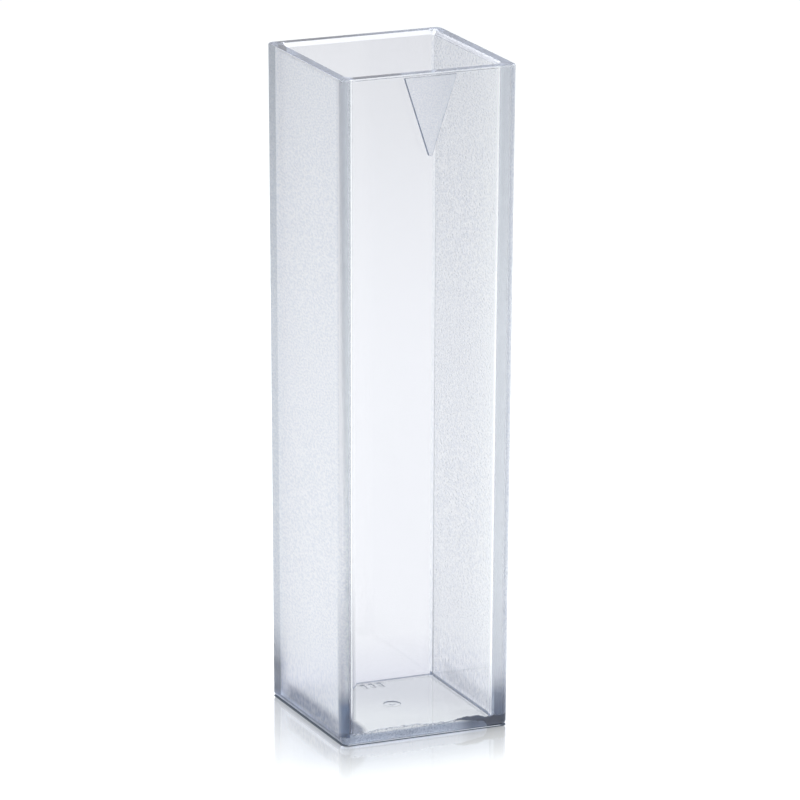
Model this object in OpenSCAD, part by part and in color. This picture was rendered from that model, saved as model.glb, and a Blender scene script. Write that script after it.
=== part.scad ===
// Disposable macro cuvette: one clear moulded piece, closed below and open above.
// Origin at the centre of the base, +Z up, the window with the raised mark faces -Y.
// The two windows are the +Y and -Y walls. The two frosted sides are the +X and -X walls.

/* [Body] */
// Height over all
body_h = 45; // [30:0.5:60]
// Width over the frosted sides at the rim
rim_w = 12.5; // [11.5:0.1:15]
// Depth over the windows at the rim
rim_d = 12.5; // [11.5:0.1:15]
// Width over the frosted sides at the base
base_w = 11.9; // [11.3:0.05:12.5]
// Depth over the windows at the base
base_d = 12.3; // [11.3:0.05:12.5]
// Radius of the four upright outer edges
edge_r = 0.5; // [0.35:0.05:1]
// Rounding round the bottom of the base
foot_r = 0.3; // [0.1:0.05:0.3]
// Rounding round the outside of the rim
lip_r = 0.1; // [0.05:0.01:0.15]

/* [Well] */
// Thickness of the floor
floor_t = 0.45; // [0.4:0.05:2]
// Width of the well between the frosted sides, at the floor
floor_w = 10.22; // [8:0.02:10.4]
// Depth of the well between the windows, at the floor
floor_d = 10.04; // [8:0.02:10.2]
// Width of the well just below the rim
mouth_w = 10.62; // [10.4:0.02:10.8]
// Depth of the well just below the rim
mouth_d = 10.68; // [10.2:0.02:10.8]
// Radius of the four upright inner edges
well_r = 0.35; // [0.35:0.05:1]
// Rounding round the floor
floor_r = 0.1; // [0.1:0.02:0.3]

/* [Rim] */
// Width of the bevel inside the rim
bevel_w = 0.22; // [0.05:0.01:0.3]
// Height of the bevel inside the rim
bevel_h = 0.26; // [0.1:0.01:0.6]

/* [Mark] */
// Distance of the raised mark's top edge below the rim
mark_top = 0.2; // [0.2:0.05:0.6]
// Width of the raised mark along its top edge
mark_w = 3.7; // [2:0.1:6]
// Height of the raised mark from its top edge to its tip
mark_h = 5.3; // [3:0.1:9]
// How far the mark stands out of the window
mark_raise = 0.15; // [0.1:0.01:0.3]
// Radius of the mark's tip
mark_tip_r = 0.15; // [0.05:0.01:0.3]

/* [Underside] */
// Distance of the gate from the middle, across
gate_x = 0.2; // [-0.5:0.05:0.5]
// Distance of the gate behind the middle
gate_y = 0.45; // [-0.5:0.05:0.5]
// Radius of the round gate recess
gate_r = 0.6; // [0.4:0.05:1.2]
// Depth of the gate recess
gate_depth = 0.1; // [0.05:0.01:0.2]
// Radius of the gate stub in its recess
stub_r = 0.22; // [0.1:0.01:0.3]
// Height of the gate stub
stub_h = 0.05; // [0.02:0.01:0.05]
// Number of plain bars sunk behind the gate
bar_count = 3; // [1:1:5]
// Length of a bar
bar_l = 0.9; // [0.5:0.1:1.5]
// Width of a bar
bar_w = 0.3; // [0.2:0.05:0.4]
// Distance from bar to bar
bar_pitch = 0.6; // [0.5:0.05:0.9]
// Depth of the bars
bar_depth = 0.08; // [0.03:0.01:0.15]
// Distance of the middle bar from the middle, across
bar_x = 0.5; // [-1:0.1:1]
// Distance of the bars behind the middle
bar_y = 4.5; // [2.5:0.1:4.5]

/* [Hidden] */
// Facets round an upright edge, and steps in a rounding
edge_fn = 32;
round_steps = 5;
gate_fn = 64;
// How far a cut runs on past the face it opens
over = 1;
// Thickness of the thin slices that hulls run between
slice = 0.02;
// The bevel starts this much outside the well's walls, so that the two cuts cross cleanly
ledge = 0.02;
// How far the mark is rooted in the window
mark_root = 0.4;
// Height at which the well's walls start, above the floor's rounding
wall_z = floor_t + floor_r;
// Growth of the well from its lower to its upper end, where it runs out past the rim
well_growth = (body_h + over - wall_z) / (body_h - bevel_h - wall_z);
// Where the bevel's cut ends past the rim, counted in bevel heights from its lower edge
bevel_end = 2;
// The mark's tip is an arc between its two straight sides, which slope off upright by side_slope
tip_drop = mark_h - mark_tip_r;
tip_reach = sqrt(pow(mark_w / 2, 2) + pow(tip_drop, 2));
side_slope = atan(mark_w / 2 / tip_drop) - asin(mark_tip_r / tip_reach);
tip_steps = 10;

clear_plastic = [0.86, 0.9, 0.95, 0.35];

// One copy at each corner of a w by d rectangle, r in from its sides
module at_corners(w, d, r) {
  for (x = [-1, 1], y = [-1, 1]) {
    translate([x * (w / 2 - r), y * (d / 2 - r), 0]) children();
  }
}

// Round post of radius r and height e, its lower end fully rounded by e
module foot_post(r, e) {
  arc = [for (i = [0:round_steps]) let (a = 90 * i / round_steps) [r - e + e * sin(a), e - e * cos(a)]];
  rotate_extrude($fn = edge_fn) polygon(concat([[0, 0]], arc, [[0, e]]));
}

// The solid block, drafted from rim to base
module block() {
  hull() {
    at_corners(base_w, base_d, edge_r) foot_post(edge_r, foot_r);
    translate([0, 0, body_h]) mirror([0, 0, 1])
      at_corners(rim_w, rim_d, edge_r) foot_post(edge_r, lip_r);
  }
}

// The drafted hollow, run on past the rim
module well() {
  top_w = floor_w + (mouth_w - floor_w) * well_growth;
  top_d = floor_d + (mouth_d - floor_d) * well_growth;
  hull() {
    translate([0, 0, floor_t])
      at_corners(floor_w, floor_d, well_r) foot_post(well_r, floor_r);
    translate([0, 0, body_h + over])
      at_corners(top_w, top_d, well_r) cylinder(h = slice, r = well_r, $fn = edge_fn);
  }
}

// One slice of the bevel, t bevel heights above its lower edge
module bevel_slice(t) {
  grow = ledge + (bevel_w - ledge) * t;
  translate([0, 0, body_h - bevel_h + t * bevel_h])
    at_corners(mouth_w + 2 * grow, mouth_d + 2 * grow, well_r + grow)
      cylinder(h = slice, r = well_r + grow, $fn = edge_fn);
}

// The widening inside the rim
module mouth() {
  hull() {
    bevel_slice(0);
    bevel_slice(bevel_end);
  }
}

// The raised pointer that shows which way the light goes through
module mark() {
  first = -side_slope;
  last = side_slope - 180;
  tip = [for (i = [0:tip_steps]) let (a = first + (last - first) * i / tip_steps)
    [mark_tip_r * cos(a), mark_tip_r * sin(a) - tip_drop]];
  translate([0, mark_root - rim_d / 2, body_h - mark_top]) rotate([90, 0, 0])
    linear_extrude(height = mark_root + mark_raise)
      polygon(concat([[-mark_w / 2, 0], [mark_w / 2, 0]], tip));
}

// The gate recess with its stub, cut from the underside
module gate() {
  translate([gate_x, gate_y, 0]) difference() {
    translate([0, 0, -over]) cylinder(h = over + gate_depth, r = gate_r, $fn = gate_fn);
    translate([0, 0, gate_depth - stub_h]) cylinder(h = over, r = stub_r, $fn = edge_fn);
  }
}

// Plain bars sunk in the underside, where the mould carries its mark
module bars() {
  for (i = [0:bar_count - 1]) {
    translate([bar_x + (i - (bar_count - 1) / 2) * bar_pitch - bar_w / 2, bar_y - bar_l / 2, -over])
      cube([bar_w, bar_l, over + bar_depth]);
  }
}

module cuvette() {
  color(clear_plastic) difference() {
    union() {
      block();
      mark();
    }
    well();
    mouth();
    gate();
    bars();
  }
}

cuvette();
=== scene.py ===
import math

import bmesh
import bpy
from mathutils import Matrix, Vector


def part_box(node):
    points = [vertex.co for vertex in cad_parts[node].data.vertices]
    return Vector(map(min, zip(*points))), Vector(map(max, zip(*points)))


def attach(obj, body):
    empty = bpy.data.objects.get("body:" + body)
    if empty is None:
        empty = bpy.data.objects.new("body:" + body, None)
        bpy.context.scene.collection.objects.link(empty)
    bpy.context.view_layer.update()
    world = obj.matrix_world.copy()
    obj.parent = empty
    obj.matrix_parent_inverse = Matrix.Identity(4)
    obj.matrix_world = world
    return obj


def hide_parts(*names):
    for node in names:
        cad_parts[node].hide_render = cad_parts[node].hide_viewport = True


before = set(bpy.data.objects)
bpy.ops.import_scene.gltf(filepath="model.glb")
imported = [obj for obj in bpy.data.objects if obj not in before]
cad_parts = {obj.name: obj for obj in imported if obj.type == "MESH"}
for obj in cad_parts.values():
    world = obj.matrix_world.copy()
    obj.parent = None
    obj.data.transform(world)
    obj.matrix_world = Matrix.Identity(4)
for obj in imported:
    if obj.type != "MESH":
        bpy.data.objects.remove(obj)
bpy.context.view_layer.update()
MM = 0.001

# ---------------------------------------------------------------- sizes, in mm
low, high = (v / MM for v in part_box("cuvette"))
HEIGHT = high.z
RIM_W = high.x - low.x
RIM_D = RIM_W  # the rim is square, and only the mark stands out of it
MARK_RAISE = -low.y - RIM_D / 2
BASE_W, BASE_D = 11.9, 12.3  # outside of the base, across and from front to back
EDGE_R, FOOT_R, LIP_R = 0.5, 0.3, 0.1  # rounding of the upright edges, the foot and the lip
FLOOR_T, FLOOR_R, WELL_R = 0.45, 0.1, 0.35  # the floor, its fillet and the well's upright corners
FLOOR_W, FLOOR_D = 10.22, 10.04  # the well at its floor
MOUTH_W, MOUTH_D = 10.62, 10.68  # the well at its mouth, where the bevel starts
BEVEL_W, BEVEL_H = 0.22, 0.26
BEVEL_SOFT = 0.03  # rounding of the two edges of the bevel
MARK_TOP = 0.2  # from the rim down to the mark
MARK_W, MARK_H, MARK_TIP_R = 3.7, 5.3, 0.15
MARK_ROOT = 0.4  # how far the mark reaches into the wall
MARK_CHAMFER = 0.03
GATE_X, GATE_Y, GATE_R, GATE_DEPTH = 0.2, 0.45, 0.6, 0.1
STUB_R, STUB_H = 0.22, 0.05  # the stub left standing in the gate's recess
BAR_COUNT, BAR_PITCH, BAR_X, BAR_Y = 3, 0.6, 0.5, 4.5
BAR_L, BAR_W, BAR_DEPTH = 0.9, 0.3, 0.08
TOOL_REACH = 1  # how far a cutting tool runs on past the face that it opens
CORNER_STEPS, ARC_STEPS, GATE_STEPS = 12, 6, 64
SHARP_ANGLE = 35  # degrees between two faces, above which their edge is shaded sharp
NORMAL_WEIGHT = 100


# ---------------------------------------------------------------- the moulding
def ring(w, d, r, z):
    """Points of a w by d rectangle with corners of radius r, at height z."""
    points = []
    for turn, (sx, sy) in enumerate(((1, 1), (-1, 1), (-1, -1), (1, -1))):
        cx, cy = sx * (w / 2 - r), sy * (d / 2 - r)
        for i in range(CORNER_STEPS + 1):
            a = math.pi / 2 * (turn + i / CORNER_STEPS)
            points.append(Vector((cx + r * math.cos(a), cy + r * math.sin(a), z)))
    return points


def inset_ring(w, d, r, inset, z):
    return ring(w - 2 * inset, d - 2 * inset, r - inset, z)


def profile():
    """The rings from the underside, up the outside, over the rim and down into the well."""
    arc = [math.pi / 2 * i / ARC_STEPS for i in range(ARC_STEPS + 1)]
    rings = []
    for a in arc:
        inset, z = FOOT_R * (1 - math.sin(a)), FOOT_R * (1 - math.cos(a))
        rings.append(inset_ring(BASE_W, BASE_D, EDGE_R, inset, z))
    for a in arc:
        inset, drop = LIP_R * (1 - math.cos(a)), LIP_R * (1 - math.sin(a))
        rings.append(inset_ring(RIM_W, RIM_D, EDGE_R, inset, HEIGHT - drop))
    # the bevel, each of its edges softened by a short step on either side
    slope = BEVEL_W / BEVEL_H
    for grow, drop in (
        (BEVEL_W + BEVEL_SOFT, 0),
        (BEVEL_W - BEVEL_SOFT * slope / 2, BEVEL_SOFT / 2),
        (BEVEL_SOFT * slope / 2, BEVEL_H - BEVEL_SOFT / 2),
        (0, BEVEL_H + BEVEL_SOFT),
    ):
        rings.append(inset_ring(MOUTH_W, MOUTH_D, WELL_R, -grow, HEIGHT - drop))
    for a in arc:
        inset, rise = FLOOR_R * (1 - math.cos(a)), FLOOR_R * (1 - math.sin(a))
        rings.append(inset_ring(FLOOR_W, FLOOR_D, WELL_R, inset, FLOOR_T + rise))
    return rings


def new_object(name, bm):
    bmesh.ops.recalc_face_normals(bm, faces=bm.faces)
    mesh = bpy.data.meshes.new(name)
    bm.transform(Matrix.Scale(MM, 4))
    bm.to_mesh(mesh)
    bm.free()
    made = bpy.data.objects.new(name, mesh)
    bpy.context.scene.collection.objects.link(made)
    return made


def lofted(name, rings):
    """A closed solid through the rings, capped at both ends."""
    bm = bmesh.new()
    loops = [[bm.verts.new(p) for p in points] for points in rings]
    count = len(loops[0])
    for lower, upper in zip(loops, loops[1:]):
        for i in range(count):
            j = (i + 1) % count
            bm.faces.new((lower[i], lower[j], upper[j], upper[i]))
    bm.faces.new(loops[0])
    bm.faces.new(loops[-1])
    return new_object(name, bm)


def mark_slope():
    """How far the mark's two straight sides lean off upright."""
    half, drop = MARK_W / 2, MARK_H - MARK_TIP_R
    return math.atan2(half, drop) - math.asin(MARK_TIP_R / math.hypot(half, drop))


def mark_outline(shrink):
    """The pointer's outline in the window's plane, x across and z up, its tip rounded."""
    r = MARK_TIP_R - shrink
    top_z = HEIGHT - MARK_TOP
    slope = mark_slope()
    top = MARK_W / 2 - shrink / math.cos(slope)
    points = [(-top, top_z - shrink), (top, top_z - shrink)]
    for i in range(ARC_STEPS * 2 + 1):
        a = -slope + (2 * slope - math.pi) * i / (ARC_STEPS * 2)
        points.append((r * math.cos(a), top_z - MARK_H + MARK_TIP_R + r * math.sin(a)))
    return points


def mark_solid():
    wall = -RIM_D / 2
    levels = (
        (wall + MARK_ROOT, 0),
        (wall - MARK_RAISE + MARK_CHAMFER, 0),
        (wall - MARK_RAISE, MARK_CHAMFER),
    )
    return lofted("mark_tool", [[Vector((x, y, z)) for x, z in mark_outline(s)] for y, s in levels])


def disc_tool(name, r, z0, z1):
    turns = [math.tau * i / GATE_STEPS for i in range(GATE_STEPS)]
    outline = [(GATE_X + r * math.cos(a), GATE_Y + r * math.sin(a)) for a in turns]
    return lofted(name, [[Vector((x, y, z)) for x, y in outline] for z in (z0, z1)])


def bar_tool(x):
    x0, x1, y0, y1 = x - BAR_W / 2, x + BAR_W / 2, BAR_Y - BAR_L / 2, BAR_Y + BAR_L / 2
    outline = ((x0, y0), (x1, y0), (x1, y1), (x0, y1))
    levels = (-TOOL_REACH, BAR_DEPTH)
    return lofted("bar_tool", [[Vector((x, y, z)) for x, y in outline] for z in levels])


def combine(target, tool, operation):
    change = target.modifiers.new("combine", "BOOLEAN")
    change.operation, change.solver, change.object = operation, "EXACT", tool
    bpy.context.view_layer.objects.active = target
    bpy.ops.object.modifier_apply(modifier=change.name)
    bpy.data.objects.remove(tool)


body = lofted("cuvette_moulding", profile())
combine(body, mark_solid(), "UNION")
gate = disc_tool("gate_tool", GATE_R, -TOOL_REACH, GATE_DEPTH)
combine(gate, disc_tool("stub_tool", STUB_R, GATE_DEPTH - STUB_H, TOOL_REACH), "DIFFERENCE")
combine(body, gate, "DIFFERENCE")
for i in range(BAR_COUNT):
    combine(body, bar_tool(BAR_X + (i - (BAR_COUNT - 1) / 2) * BAR_PITCH), "DIFFERENCE")

mesh = body.data
for polygon in mesh.polygons:
    polygon.use_smooth = True
mesh.set_sharp_from_angle(angle=math.radians(SHARP_ANGLE))
weigh = body.modifiers.new("weigh", "WEIGHTED_NORMAL")
weigh.keep_sharp = True
weigh.weight = NORMAL_WEIGHT


# ---------------------------------------------------------------- nodes
FLAT = (1, 1, 0)  # a place times this has lost its height


class Nodes:
    """A node tree, with short ways to add the nodes that the looks here share."""

    def __init__(self, owner, coordinates="Object"):
        owner.use_nodes = True
        self.tree = owner.node_tree
        self.place = self.node("TexCoord").outputs[coordinates]

    def node(self, kind, **values):
        made = self.tree.nodes.new("ShaderNode" + kind)
        for key, value in values.items():
            setattr(made, key, value)
        return made

    def feed(self, socket, value):
        if isinstance(value, bpy.types.NodeSocket):
            self.tree.links.new(value, socket)
        else:
            socket.default_value = value

    def math(self, operation, a, b=0.0, c=0.0):
        made = self.node("Math", operation=operation)
        for socket, value in zip(made.inputs, (a, b, c)):
            self.feed(socket, value)
        return made.outputs[0]

    def vector(self, operation, a, b=(0, 0, 0), c=(0, 0, 0), output="Vector"):
        made = self.node("VectorMath", operation=operation)
        for socket, value in zip(made.inputs, (a, b, c)):
            self.feed(socket, value)
        return made.outputs[output]

    def axis(self, name, source=None):
        made = self.node("SeparateXYZ")
        self.feed(made.inputs[0], source or self.place)
        return made.outputs[name]

    def mix(self, factor, a, b, kind="RGBA"):
        made = self.node("Mix", data_type=kind)
        for name, value in (("Factor", factor), ("A", a), ("B", b)):
            self.feed(made.inputs[name], value)
        return made.outputs["Result"]

    def noise(self, size, detail=2.0, stretch=(1, 1, 1), seed=0.0, roughness=0.5):
        """Noise from 0 to 1, its features about size mm across, longer along stretched axes."""
        scale = tuple(1 / (size * MM * s) for s in stretch)
        place = self.vector("MULTIPLY_ADD", self.place, scale, (seed, seed, seed))
        made = self.node("TexNoise")
        for name, value in (
            ("Vector", place),
            ("Scale", 1.0),
            ("Detail", detail),
            ("Roughness", roughness),
        ):
            self.feed(made.inputs[name], value)
        return made.outputs["Fac"]

    def ramp(self, value, start, end, low=0.0, high=1.0, smooth=True):
        made = self.node("MapRange", interpolation_type="SMOOTHSTEP" if smooth else "LINEAR")
        names = ("Value", "From Min", "From Max", "To Min", "To Max")
        for name, v in zip(names, (value, start, end, low, high)):
            self.feed(made.inputs[name], v)
        return made.outputs[0]

    def rise(self, value, start, end, low=0.0, high=1.0, smooth=True):
        """From low at start mm to high at end mm."""
        return self.ramp(value, start * MM, end * MM, low, high, smooth)

    def fade(self, value, start, end):
        """1 up to start mm, falling to 0 at end mm; it rises instead where start is the larger."""
        if start > end:
            return self.rise(value, end, start)
        return self.rise(value, start, end, 1.0, 0.0)

    def below(self, value, limit):
        return self.math("LESS_THAN", value, limit * MM)

    def above(self, value, limit):
        return self.math("GREATER_THAN", value, limit * MM)

    def join(self, operation, masks):
        """The masks taken together, one after the other, by a math operation."""
        whole = masks[0]
        for mask in masks[1:]:
            whole = self.math(operation, whole, mask)
        return whole

    def both(self, *masks):
        return self.join("MULTIPLY", masks)

    def either(self, *masks):
        return self.join("MAXIMUM", masks)

    def bump(self, height, depth, under=None):
        """Surface relief: height from 0 to 1 stands for depth mm."""
        made = self.node("Bump")
        self.feed(made.inputs["Height"], height)
        self.feed(made.inputs["Strength"], 1.0)
        self.feed(made.inputs["Distance"], depth * MM)
        if under:
            self.feed(made.inputs["Normal"], under)
        return made.outputs["Normal"]


# ---------------------------------------------------------------- the plastic
# What a surface lets through. White lets all of it through.
CLEAR = (0.94, 0.94, 0.943, 1)  # polished, towards the front left
BACK_SHADE = (0.762, 0.757, 0.795, 1)  # polished, towards the back right: painted shade
BRIGHT = (1.0, 1.0, 1.0, 1)  # between the pits of the grain, polished on a corner post, and on the lip as painted highlight
DULL = (0.68, 0.72, 0.80, 1)  # in the pits of the grain
DULLER = (0.54, 0.58, 0.68, 1)  # in the pits of the right side, away from its front post: grain, darker there as painted shade
RIM_TOP_SHADE = (0.70, 0.79, 1.0, 1)  # the flat top of the rim: painted shade, tinted blue
SHADED = (0.022, 0.040, 0.095, 1)  # painted shade: low on the corner posts, and in the other dark places
PITCH = (0.002, 0.004, 0.012, 1)  # painted shade, darkest: the black end of the torn edge
ABSORB, ABSORB_COLOUR = 12.0, (0.20, 0.36, 0.60, 1)  # the plastic itself, deeper where thick
IOR = 1.59

FROST, LIP_FROST = 0.28, 0.3  # roughness of the side faces, and of the rubbed edge of the rim
FOOT_FROST, FOOT_HAZE = 0.35, 0.03  # the same on the underside, below the walls and in the middle
TORN_FROST, SEAM_FROST = 0.3, 0.3  # the same on the torn edge, and along the back of the floor
RELIEF = 0.02  # depth of the grain and of the torn edge, mm
FOOT_RELIEF = 0.15  # how much of it the underside has
WAVE_SIZE, WAVE_DEPTH, WAVE_STRETCH = 3.5, 0.0015, (1, 1, 2)  # unevenness of all faces, mm

# Where things are, in mm. "In" counts inwards from the outside. A pair is where a mask starts to
# change and where it has changed.
HAIR = 0.01  # slack at a plane
SIDE_SLACK = 0.03  # how far short of the rounding's end the grain of a side stops
SKIN = 0.03  # in, on one face only
UNDERSIDE = 0.02  # up to here a point is on the underside
WALL_FOOT = (0.9, 1.3)  # in, where the underside goes from dull to hazy
BACK_SEAM, WELL_IN = 4.8, 0.8  # the back of the floor, and how far in the well is at least
POST = (0.8, 0.95)  # in, from the corner posts to the windows
GRAIN_SIZE, GRAIN_STRETCH = 0.13, (1, 2, 1)
GRAIN_LIMITS = (0.3, 0.7)  # noise values where a pit starts and where it is full
DRAWN_STRETCH, DRAWN_SEED, DRAWN_BELOW = (1, 2, 3), 3.0, (2.0, 7.0)  # drawn out near the foot
MARK_GRAIN_SIZE, MARK_GRAIN_SEED = 0.09, 7.0
PALE_EDGE_IN_X, PALE_EDGE_IN_Y, PALE_EDGE_ABOVE = 0.55, 0.5, (10, 24)  # painted light: the near edge, higher up, has no pits in its colour
DULLER_FROM = (-3.5, -1.5)  # along the depth
BACK_SHADE_SPREAD, BACK_SHADE_SKEW = 4, 0.5  # half the way over which the polished faces take on the painted shade, and its lean
MARK_LINE = 0.04  # width of the painted dark line along the mark's left side, and half on its right
MARK_MIDDLE = 0.1  # half the way over which it changes

# the torn edge along the front of the base
TORN = 0.80  # its height
RAGGED_SIZE, RAGGED_DETAIL, RAGGED_ROUGHNESS = 0.5, 4.0, 0.7
RAGGED_HEIGHT = 0.5  # how far up and down its upper line runs
TORN_SOFT, TORN_DEPTH = 0.03, 0.4  # softness of that line, and how deep in the edge goes
SWELLS = (((2.8, 1.9), (3.0, 4.7), 0.16), ((-3.0, -5.0), (-1.5, 1.0), 0.1))  # from, to, height
FLECK_LIMITS, FLECK = (0.45, 0.62), 0.5  # small dark flecks in it
GLOOM_ACROSS, GLOOM = (1.7, 3.4), 0.92  # painted shade: its right half is darker
BRINK_DROP, BRINK_LIMITS, BRINK = (-0.14, -0.08), (0.4, 0.6), (0.2, 0.8)  # painted shade along its broken upper line
BLACK_END_ACROSS, BLACK_END_SOFT = (2.2, 1.9), (-0.04, 0.05)  # its black end, painted shade
BLACK_END_LINE, BLACK_END_RAGGED = 0.70, 0.16  # height of the black end's lower line, and its raggedness
BLACK_END_DROPS = ((2.2, 4.3, 0.26), (4.1, 4.7, 0.7))  # from, to, how far that line drops

# the corner posts' painted shade: heights between which each shade fades, and how strong it is
NEAR_SHADES = ((2.6, 5.6, 1.0), (5.0, 16.0, 0.55))
LEFT_SHADES = ((2.3, 4.2, 1.0), (3.0, 7.5, 0.7))
RIGHT_SHADES = ((1.0, 4.6, 0.93),)
LEFT_UPPER, RIGHT_UPPER = (25, 45, 0.30, 0.64), (28, 45, 0.0, 0.16)  # and the painted shade higher up
FRONT_IN, BACK_IN = (1.0, 1.2), (1.5, 1.62)  # in from the front or the back
NEAR_IN_X, NEAR_IN_Y = (0.42, 0.56), (0.7, 1.1)  # in, how far the near post's painted shade goes
NEAR_EDGE_X, NEAR_EDGE_IN, NEAR_EDGE = 0.06, (0.6, 0.95), 0.22  # a faint painted shade at its side face
BESIDE_IN, BESIDE_BELOW, BESIDE = (0.78, 0.95), (6.0, 14.0), 0.4  # and painted shade beside it, on the front
RIGHT_FACE, RIGHT_FACE_IN = 0.05, (1.0, 1.12)  # the right post's painted shade goes on over the front

# painted light and shade at the near corner of the foot: a light patch, which is a painted
# highlight, and the slanting painted shade that runs up beside it
LIGHT_PATCH_IN, LIGHT_PATCH_ABOVE, LIGHT_PATCH_LINE = (0.5, 0.7), (0.08, 0.03), (0.72, 0.82)
LIGHT_PATCH_SKIRT = 0.9  # share of the painted dark line round the foot that the light patch takes away
SLANT_SHADE_LEAN, SLANT_SHADE_LINE, SLANT_SHADE_IN = 0.8, (2.1, 2.6), (1.2, 1.9)
SLANT_SHADE_ABOVE, SLANT_SHADE = (0.85, 0.7), 0.92

# painted shade: the dark line round the foot, and the dark patch low on the sides
SKIRT_SIDE, SKIRT_FRONT, SKIRT_IN, SKIRT = (0.36, 0.48), (0.05, 0.13), 0.35, 0.9
LOW_SHADE_ABOVE, LOW_SHADE_BELOW, LOW_SHADE_IN = (0.78, 0.5), (1.3, 2.1), 0.05
LOW_SHADE_DEEP, LOW_SHADE_FRONT = (2.6, 4.4), (-6, -3, 0.8, 1.0)  # it ends there, and weakens here
LOW_SHADE_LIMITS = (0.3, 0.7, 0.86, 1.0)  # streaks in it
LOW_SHADE_SIDES = (-1, 1, 1.0, 0.5)  # whole on the left side and half as strong on the right

# painted shade in the recesses of the underside
GATE_LINE = 0.05  # half the width of the painted dark ring round the gate
BAR_IN = 0.9  # in, the bars lie at least this far
BAR_LIMITS, BAR_SHADE = (0.4, 0.6), (0.15, 0.6)  # noise values, and the uneven painted shade between


class Plastic(Nodes):
    """The plastic's nodes. Every mask is laid out by where a point lies on the moulding."""

    def __init__(self, material):
        super().__init__(material)
        self.across, self.deep, self.height = (self.axis(name) for name in "XYZ")
        # how far a point lies inside the tapered outside, across and from front to back, in m
        spread_x, spread_y = (RIM_W - BASE_W) / 2 / HEIGHT, (RIM_D - BASE_D) / 2 / HEIGHT
        half_x = self.math("MULTIPLY_ADD", self.height, spread_x, BASE_W / 2 * MM)
        half_y = self.math("MULTIPLY_ADD", self.height, spread_y, BASE_D / 2 * MM)
        self.in_x = self.math("SUBTRACT", half_x, self.math("ABSOLUTE", self.across))
        self.in_y = self.math("SUBTRACT", half_y, self.math("ABSOLUTE", self.deep))
        self.nearest = self.math("MINIMUM", self.in_x, self.in_y)
        self.out_front = self.math("SUBTRACT", self.math("MULTIPLY", self.deep, -1.0), half_y)
        self.post = self.fade(self.in_x, *POST)
        self.near = self.both(self.below(self.across, 0), self.below(self.deep, 0))

        self.side = self.both(
            self.below(self.in_x, EDGE_R - SIDE_SLACK), self.below(self.height, HEIGHT - LIP_R)
        )
        self.lip = self.both(
            self.below(self.nearest, LIP_R), self.above(self.height, HEIGHT - LIP_R)
        )
        self.mark = self.above(self.out_front, MARK_RAISE - HAIR)
        self.ledge = self.both(
            self.above(self.out_front, HAIR), self.above(self.height, HEIGHT - MARK_TOP - HAIR)
        )
        self.grained = self.either(self.side, self.mark, self.ledge)

        self.fine = self.noise(GRAIN_SIZE, stretch=GRAIN_STRETCH)
        self.drawn = self.noise(GRAIN_SIZE, stretch=DRAWN_STRETCH, seed=DRAWN_SEED)
        self.tiny = self.noise(MARK_GRAIN_SIZE, seed=MARK_GRAIN_SEED)
        self.ragged = self.noise(RAGGED_SIZE, RAGGED_DETAIL, roughness=RAGGED_ROUGHNESS)
        self.brow = self.torn_line()
        self.torn = self.both(
            self.fade(self.over_brow(), -TORN_SOFT, TORN_SOFT),
            self.above(self.out_front, -TORN_DEPTH),
            self.below(self.in_y, TORN_DEPTH),
        )
        # 1 on the light patch at the near corner of the foot: a painted highlight, which the
        # painted shades leave out
        jagged = self.math("MULTIPLY_ADD", self.ragged, RAGGED_HEIGHT * MM, self.height)
        self.light_patch = self.both(
            self.near,
            self.fade(self.in_x, *LIGHT_PATCH_IN),
            self.fade(self.in_y, *LIGHT_PATCH_IN),
            self.fade(self.height, *LIGHT_PATCH_ABOVE),
            self.fade(jagged, *LIGHT_PATCH_LINE),
        )

    def off_light_patch(self, strength=1.0, share=1.0):
        """strength, but less by share of it on the light patch."""
        return self.math("MULTIPLY_ADD", self.light_patch, -strength * share, strength)

    def torn_line(self):
        """The height of the torn edge's upper line."""
        swell = self.either(
            *(
                self.both(self.fade(self.across, *rise), self.fade(self.across, *fall), size * MM)
                for rise, fall, size in SWELLS
            )
        )
        middle = (TORN - RAGGED_HEIGHT / 2) * MM
        line = self.math("MULTIPLY_ADD", self.ragged, RAGGED_HEIGHT * MM, middle)
        return self.math("ADD", line, swell)

    def over_brow(self):
        return self.math("SUBTRACT", self.height, self.brow)

    def grain(self):
        """Fine grain, drawn out upright near the foot and finer on the mark."""
        low_down = self.fade(self.height, *DRAWN_BELOW)
        grain = self.math(
            "ADD", self.fine, self.both(self.math("SUBTRACT", self.drawn, self.fine), low_down)
        )
        return self.math(
            "ADD", grain, self.both(self.math("SUBTRACT", self.tiny, self.fine), self.mark)
        )

    def roughness(self):
        foot = self.both(
            self.below(self.height, UNDERSIDE),
            self.rise(self.nearest, *WALL_FOOT, FOOT_FROST, FOOT_HAZE),
        )
        seam = self.both(
            self.above(self.height, FLOOR_T + HAIR / 2),
            self.below(self.height, FLOOR_T + FLOOR_R + HAIR),
            self.above(self.deep, BACK_SEAM),
            self.above(self.nearest, WELL_IN),
        )
        rough = self.either(
            self.both(self.grained, FROST),
            self.both(self.lip, LIP_FROST),
            foot,
            self.both(self.torn, TORN_FROST),
            self.both(seam, SEAM_FROST),
        )
        return rough, foot

    def surface(self, grain):
        """What the faces let through, with some painted light and shade: grained, polished, the
        rim's top.
        """
        # painted light: no grain pits in the colour of the near edge, higher up
        pale_near_edge = self.both(
            self.near,
            self.below(self.in_y, PALE_EDGE_IN_Y),
            self.below(self.in_x, PALE_EDGE_IN_X),
            self.rise(self.height, *PALE_EDGE_ABOVE),
        )
        whole = self.math("SUBTRACT", 1.0, self.either(pale_near_edge, self.lip))
        # the right side's grain pits are darker: grain, with painted shade on that side
        right = self.both(
            self.side, self.above(self.across, 0), self.rise(self.deep, *DULLER_FROM)
        )
        pitted = self.both(self.ramp(grain, *GRAIN_LIMITS), whole)
        grainy = self.mix(pitted, BRIGHT, self.mix(right, DULL, DULLER))
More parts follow.
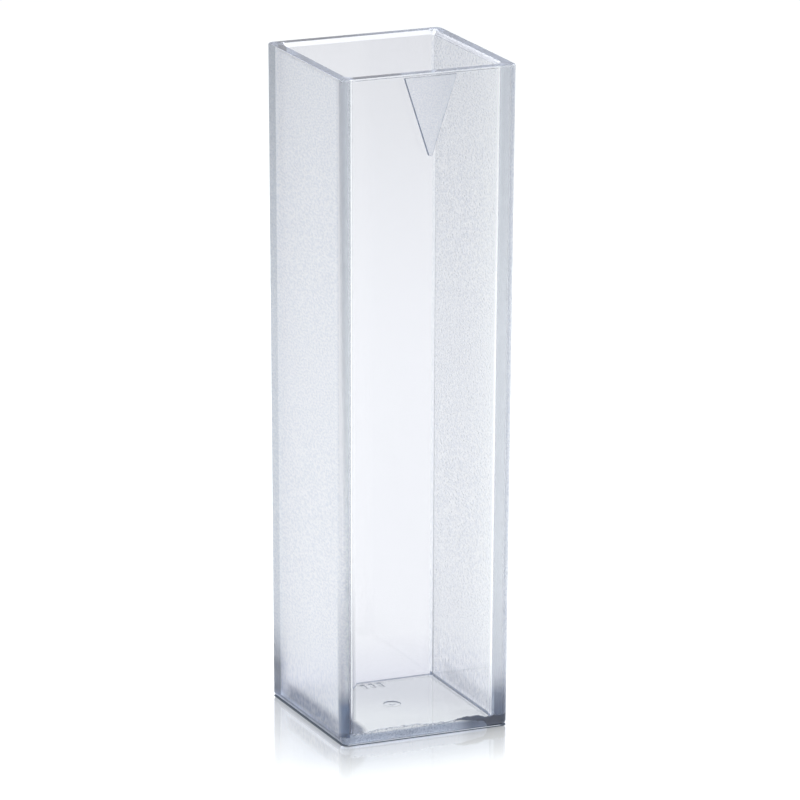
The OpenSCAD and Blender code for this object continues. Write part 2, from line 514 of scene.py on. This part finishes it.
        # painted shade: the polished faces grow darker towards the back right
        backwards = self.math("MULTIPLY_ADD", self.across, BACK_SHADE_SKEW, self.deep)
        polished = self.mix(
            self.rise(backwards, -BACK_SHADE_SPREAD, BACK_SHADE_SPREAD),
            self.mix(self.post, CLEAR, BRIGHT),
            BACK_SHADE,
        )
        # painted shade, tinted blue, on the rim's flat top
        polished = self.mix(self.above(self.height, HEIGHT - HAIR), polished, RIM_TOP_SHADE)
        # the rubbed lip takes BRIGHT without pits: rough from wear, and lighter as painted
        # highlight
        rubbed_and_lit = self.both(self.lip, self.below(self.height, HEIGHT - HAIR))
        return self.mix(self.either(self.grained, rubbed_and_lit), polished, grainy)

    def post_shades(self):
        """Painted shade on the corner posts, most of it near the floor."""
        at_front = self.both(self.below(self.deep, 0), self.fade(self.in_y, *FRONT_IN))
        at_back = self.both(self.above(self.deep, 0), self.fade(self.in_y, *BACK_IN))
        near_post = self.both(
            self.near,
            self.fade(self.in_x, *NEAR_IN_X),
            self.fade(self.in_y, *NEAR_IN_Y),
            self.off_light_patch(),
        )
        near_edge = self.both(
            self.near,
            self.below(self.in_x, NEAR_EDGE_X),
            self.fade(self.in_y, *NEAR_EDGE_IN),
            self.off_light_patch(NEAR_EDGE),
        )
        beside = self.both(
            self.near,
            self.below(self.in_y, SKIN),
            self.fade(self.in_x, *BESIDE_IN),
            self.fade(self.height, *BESIDE_BELOW),
            BESIDE,
        )
        left_post = self.both(self.post, self.below(self.across, 0), at_back)
        right_face = self.both(
            self.below(self.in_y, RIGHT_FACE), self.fade(self.in_x, *RIGHT_FACE_IN)
        )
        right_post = self.both(
            self.either(self.post, right_face), self.above(self.across, 0), at_front
        )
        shades = [near_edge, beside]
        for post, falls in (
            (near_post, NEAR_SHADES),
            (left_post, LEFT_SHADES),
            (right_post, RIGHT_SHADES),
        ):
            for start, end, strength in falls:
                shades.append(self.both(post, self.fade(self.height, start, end), strength))
        shades.append(self.both(left_post, self.rise(self.height, *LEFT_UPPER, smooth=False)))
        shades.append(self.both(right_post, self.rise(self.height, *RIGHT_UPPER)))
        return self.either(*shades)

    def foot_shades(self):
        """Painted shade round the foot, low on the sides, and slanting up beside the light patch.
        """
        skirt = self.either(
            self.both(
                self.fade(self.height, *SKIRT_SIDE),
                self.below(self.in_x, SKIRT_IN),
                self.off_light_patch(share=LIGHT_PATCH_SKIRT),
            ),
            self.both(
                self.fade(self.height, *SKIRT_FRONT), self.below(self.in_y, SKIRT_IN), SKIRT
            ),
        )
        low_shade = self.both(
            self.fade(self.height, *LOW_SHADE_ABOVE),
            self.fade(self.height, *LOW_SHADE_BELOW),
            self.below(self.in_x, LOW_SHADE_IN),
            self.fade(self.deep, *LOW_SHADE_DEEP),
            self.rise(self.deep, *LOW_SHADE_FRONT),
            self.ramp(self.drawn, *LOW_SHADE_LIMITS),
            self.rise(self.across, *LOW_SHADE_SIDES),
        )
        # painted shade: a slanting dark patch up the front face beside the light patch
        slant_shade = self.both(
            self.near,
            self.below(self.in_y, SKIN),
            self.fade(self.math("MULTIPLY_ADD", self.in_x, SLANT_SHADE_LEAN, self.height), *SLANT_SHADE_LINE),
            self.fade(self.in_x, *SLANT_SHADE_IN),
            self.fade(self.height, *SLANT_SHADE_ABOVE),
            SLANT_SHADE,
        )
        return self.either(skirt, low_shade, slant_shade)

    def recess_shades(self):
        """Painted shade: the dark ring of the gate's recess and the faint bars, seen through the
        floor.
        """
        gate = (-GATE_X * MM, -GATE_Y * MM, 0)
        from_gate = self.vector("MULTIPLY_ADD", self.place, FLAT, gate)
        radius = self.vector("LENGTH", from_gate, output="Value")
        ring = self.both(
            self.above(self.height, HAIR / 2),
            self.below(self.height, GATE_DEPTH - HAIR / 2),
            self.above(radius, GATE_R - GATE_LINE),
            self.below(radius, GATE_R + GATE_LINE),
        )
        bars = self.both(
            self.above(self.height, HAIR / 2),
            self.below(self.height, BAR_DEPTH + HAIR),
            self.above(self.deep, BAR_Y - BAR_L),
            self.above(self.nearest, BAR_IN),
            self.ramp(self.ragged, *BAR_LIMITS, *BAR_SHADE),
        )
        return self.either(ring, bars)

    def mark_shades(self):
        """Painted shade: the mark's flanks, and the dark line along its two slanting sides."""
        flank = self.both(
            self.above(self.out_front, HAIR),
            self.below(self.out_front, MARK_RAISE - HAIR),
            self.below(self.height, HEIGHT - MARK_TOP - HAIR),
        )
        slant = math.tan(mark_slope())
        at_floor = (MARK_W / 2 - (HEIGHT - MARK_TOP) * slant) * MM
        half_mark = self.math("MULTIPLY_ADD", self.height, slant, at_floor)
        in_mark = self.math("SUBTRACT", half_mark, self.math("ABSOLUTE", self.across))
        line = self.rise(
            self.across, -MARK_MIDDLE, MARK_MIDDLE, MARK_LINE * MM, MARK_LINE * MM / 2
        )
        return self.either(flank, self.both(self.mark, self.math("LESS_THAN", in_mark, line)))

    def torn_shades(self):
        """Painted shade on the torn edge, with its dark flecks, and the mask of its black end."""
        fleck = self.both(self.ramp(self.tiny, *FLECK_LIMITS, 0.0, FLECK), self.torn)
        gloom = self.both(self.rise(self.across, *GLOOM_ACROSS, 0.0, GLOOM), self.torn)
        brink = self.both(
            self.torn,
            self.rise(self.over_brow(), *BRINK_DROP),
            self.ramp(self.drawn, *BRINK_LIMITS, *BRINK),
        )
        line = self.math("MULTIPLY_ADD", self.ragged, BLACK_END_RAGGED * MM, BLACK_END_LINE * MM)
        for start, end, drop in BLACK_END_DROPS:
            line = self.math("SUBTRACT", line, self.rise(self.across, start, end, 0.0, drop * MM))
        black_end = self.both(
            self.torn,
            self.fade(self.across, *BLACK_END_ACROSS),
            self.rise(self.math("SUBTRACT", self.height, line), *BLACK_END_SOFT),
        )
        return self.either(fleck, gloom, brink, black_end), black_end


def polystyrene():
    """One clear plastic: polished windows, well and rim, fine-grained sides and a rough foot."""
    material = bpy.data.materials.new("clear_polystyrene")
    plastic = Plastic(material)
    main, output = (plastic.tree.nodes[name] for name in ("Principled BSDF", "Material Output"))
    plastic.feed(main.inputs["Transmission Weight"], 1.0)
    plastic.feed(main.inputs["IOR"], IOR)
    volume = plastic.node("VolumeAbsorption")
    plastic.feed(volume.inputs["Color"], ABSORB_COLOUR)
    plastic.feed(volume.inputs["Density"], ABSORB)
    plastic.feed(output.inputs["Volume"], volume.outputs[0])

    rough, foot = plastic.roughness()
    plastic.feed(main.inputs["Roughness"], rough)

    grain = plastic.grain()
    torn_shades, black_end = plastic.torn_shades()
    # painted shade, laid over the surface's colour with SHADED
    shades = plastic.either(
        plastic.post_shades(),
        plastic.foot_shades(),
        plastic.recess_shades(),
        plastic.mark_shades(),
        torn_shades,
    )
    tint = plastic.mix(shades, plastic.surface(grain), SHADED)
    # painted shade, near black with PITCH, on the torn edge's black end
    plastic.feed(main.inputs["Base Color"], plastic.mix(black_end, tint, PITCH))

    on_foot = plastic.both(plastic.above(foot, 0.0), FOOT_RELIEF)
    relief = plastic.both(grain, plastic.either(plastic.grained, plastic.torn, on_foot))
    relief = plastic.math("ADD", relief, plastic.torn)
    wave = plastic.noise(WAVE_SIZE, detail=1.0, stretch=WAVE_STRETCH)
    normal = plastic.bump(relief, RELIEF, plastic.bump(wave, WAVE_DEPTH))
    plastic.feed(main.inputs["Normal"], normal)
    return material


mesh.materials.clear()
mesh.materials.append(polystyrene())

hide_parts("cuvette")
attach(body, "root")

# ---------------------------------------------------------------- floor
# The floor glows. Its light is painted: brighter round the object and darker far out in front, with
# painted shadow under and beside the foot.
FLOOR_SIZE, FLOOR_DROP = 4000, 0.02  # half its width, and how far it lies below the foot, mm
GLOSS_ROUGHNESS = 0.08
GLOSS_AROUND, GLOSS_REACH = 0.7, 10  # share of mirroring at the foot, and where it ends, mm
CONTACT_LIGHT = 0.1  # share of the floor's light left where the walls stand on it
CONTACT_IN = (0.35, 0.6)  # mm in from the foot's outline, where that ends
CONTACT_FRONT, CONTACT_TURN = 1.9, (-1, 0)  # how much narrower it is in front, and up to where
MIDDLE_LIGHT, MIDDLE_IN = 0.86, (0.5, 1.5)  # share left under the middle of the base, mm in
BESIDE_SIDE, BESIDE_AWAY = (-0.2, 0.1), (0.3, 4)  # mm, painted shade at the sides that only mirrors show
NEAR_LIGHT, EDGE_LIGHT = 1.28, 1.03  # the floor's light around the object, and where the view ends
FRONT_LIGHT, BACK_LIGHT = 0.25, 0.95  # the same far out in front and behind
NEAR_RADIUS, FAR_RADIUS, FAR_DEPTH = (70, 235), (230, 420), (-100, 200)  # mm
LIT_HUE, CONTACT_HUE = (0.98, 1.0, 1.0, 1), (0.85, 1.0, 1.25, 1)


def floor_shader():
    """A glowing white sheet, with painted shadow where the walls stand on it, glossy close around
    the foot.
    """
    material = bpy.data.materials.new("pale_floor")
    sheet = Nodes(material)
    flat = sheet.vector("MULTIPLY", sheet.place, FLAT)
    folded = sheet.vector("ABSOLUTE", flat)
    # how far a point lies outside the foot's outline, and how far inside it
    post = ((BASE_W / 2 - EDGE_R) * MM, (BASE_D / 2 - EDGE_R) * MM, 0)
    beyond = sheet.vector("MAXIMUM", sheet.vector("SUBTRACT", folded, post), (0, 0, 0))
    away = sheet.vector("LENGTH", beyond, output="Value")
    away = sheet.math("SUBTRACT", away, EDGE_R * MM)
    beneath = sheet.vector("SUBTRACT", (BASE_W / 2 * MM, BASE_D / 2 * MM, 0), folded)
    from_side = sheet.axis("X", beneath)
    nearer = sheet.rise(sheet.axis("Y"), *CONTACT_TURN, CONTACT_FRONT, 1.0)
    from_front = sheet.both(sheet.axis("Y", beneath), nearer)
    inside = sheet.math("MINIMUM", from_side, from_front)

    mirrored = sheet.node("LightPath").outputs["Is Reflection Ray"]
    beside = sheet.fade(from_side, *BESIDE_SIDE)
    around = sheet.both(mirrored, sheet.both(beside, sheet.fade(away, *BESIDE_AWAY)))
    under = sheet.both(sheet.fade(inside, *CONTACT_IN), sheet.below(away, 0))
    contact = sheet.either(under, around)
    middle = sheet.rise(inside, *MIDDLE_IN, 1.0, MIDDLE_LIGHT)
    shade = sheet.both(sheet.math("MULTIPLY_ADD", contact, CONTACT_LIGHT - 1.0, 1.0), middle)

    radius = sheet.vector("LENGTH", flat, output="Value")
    near = sheet.rise(radius, *NEAR_RADIUS, NEAR_LIGHT, EDGE_LIGHT)
    far = sheet.rise(sheet.axis("Y"), *FAR_DEPTH, FRONT_LIGHT, BACK_LIGHT)
    lit = sheet.mix(sheet.rise(radius, *FAR_RADIUS), near, far, kind="FLOAT")
    glow = sheet.node("Emission")
    sheet.feed(glow.inputs["Color"], sheet.mix(contact, LIT_HUE, CONTACT_HUE))
    sheet.feed(glow.inputs["Strength"], sheet.both(lit, shade))

    gloss = sheet.node("BsdfGlossy")
    sheet.feed(gloss.inputs["Color"], (1, 1, 1, 1))
    sheet.feed(gloss.inputs["Roughness"], GLOSS_ROUGHNESS)
    whole = sheet.node("MixShader")
    share = sheet.rise(away, 0, GLOSS_REACH, GLOSS_AROUND, 0, smooth=False)
    sheet.feed(whole.inputs["Fac"], sheet.both(sheet.above(away, 0), share))
    sheet.feed(whole.inputs[1], glow.outputs[0])
    sheet.feed(whole.inputs[2], gloss.outputs[0])
    sheet.tree.nodes.remove(sheet.tree.nodes["Principled BSDF"])
    sheet.feed(sheet.tree.nodes["Material Output"].inputs["Surface"], whole.outputs[0])
    return material


bm = bmesh.new()
bmesh.ops.create_grid(bm, x_segments=1, y_segments=1, size=FLOOR_SIZE)
floor = new_object("studio_floor", bm)
floor.location.z = -FLOOR_DROP * MM
floor.data.materials.append(floor_shader())

# ---------------------------------------------------------------- light
# The studio's light by direction. It changes from one colour to the next while the direction's
# Y, or its Z from band to band, goes from the first to the second value of a pair.
AHEAD, BEHIND, TURN = (0.11, 0.17, 0.28, 1), (0.67, 0.77, 0.90, 1), (0.1, 0.95)
BANDS = (((0.25, 0.4), (0.30, 0.34, 0.42, 1)), ((0.5, 0.85), (1.10, 1.25, 1.55, 1)))
MIRRORED_LOW = (1.0, 1.03, 1.14, 1)  # what the plastic's faces mirror of it
MIRRORED_BANDS = (
    ((0.32, 0.338), (2.7, 2.75, 3.0, 1)),
    ((0.36, 0.385), (3.8, 3.9, 4.2, 1)),
    ((0.45, 0.6), (2.0, 2.1, 2.3, 1)),
)
MIRRORED_THROUGH = (0.95, 0.98, 1.08, 1)  # the same where it is mirrored behind a clear face
BEHIND_ONE_FACE = 0.5  # a ray's count of faces gone through is under this before the first


def light_world():
    world = bpy.data.worlds.new("studio")
    bpy.context.scene.world = world
    studio = Nodes(world, "Generated")
    up = studio.axis("Z")

    def banded(colour, bands):
        for (start, end), above in bands:
            colour = studio.mix(studio.ramp(up, start, end), colour, above)
        return colour

    level = studio.mix(studio.ramp(studio.axis("Y"), *TURN), AHEAD, BEHIND)
    ray = studio.node("LightPath").outputs
    direct = studio.math("LESS_THAN", ray["Transmission Depth"], BEHIND_ONE_FACE)
    mirrored = studio.mix(direct, MIRRORED_THROUGH, banded(MIRRORED_LOW, MIRRORED_BANDS))
    colour = studio.mix(ray["Is Reflection Ray"], banded(level, BANDS), mirrored)
    studio.feed(studio.tree.nodes["Background"].inputs["Color"], colour)


light_world()

# ---------------------------------------------------------------- camera
CAMERA_AZIMUTH, CAMERA_ELEVATION, CAMERA_ROLL = -23.70, 15.54, 0.20  # degrees
CAMERA_DISTANCE, CAMERA_LENS, SENSOR = 0.4468, 303.9, 36  # m, mm, mm
CLIP_START, CLIP_END = 0.01, 100  # m
AIM_ACROSS, AIM_HEIGHT = 0.653, 21.516  # mm
BOUNCES, GLOSSY_BOUNCES = 32, 16  # light through many clear faces needs more than usual

a, e = math.radians(CAMERA_AZIMUTH), math.radians(CAMERA_ELEVATION)
back = Vector((math.sin(a) * math.cos(e), -math.cos(a) * math.cos(e), math.sin(e)))
across = Vector((math.cos(a), math.sin(a), 0))
target = across * AIM_ACROSS * MM + Vector((0, 0, AIM_HEIGHT * MM))
camera = bpy.data.objects.new("camera", bpy.data.cameras.new("camera"))
bpy.context.scene.collection.objects.link(camera)
camera.data.sensor_width = SENSOR
camera.data.lens = CAMERA_LENS
camera.data.clip_start, camera.data.clip_end = CLIP_START, CLIP_END
camera.matrix_world = (
    Matrix.Translation(target + back * CAMERA_DISTANCE)
    @ (-back).to_track_quat("-Z", "Y").to_matrix().to_4x4()
    @ Matrix.Rotation(math.radians(CAMERA_ROLL), 4, "Z")
)
bpy.context.scene.camera = camera

scene = bpy.context.scene
scene.view_settings.view_transform = "Standard"
scene.cycles.max_bounces = BOUNCES
scene.cycles.transmission_bounces = BOUNCES
scene.cycles.glossy_bounces = GLOSSY_BOUNCES
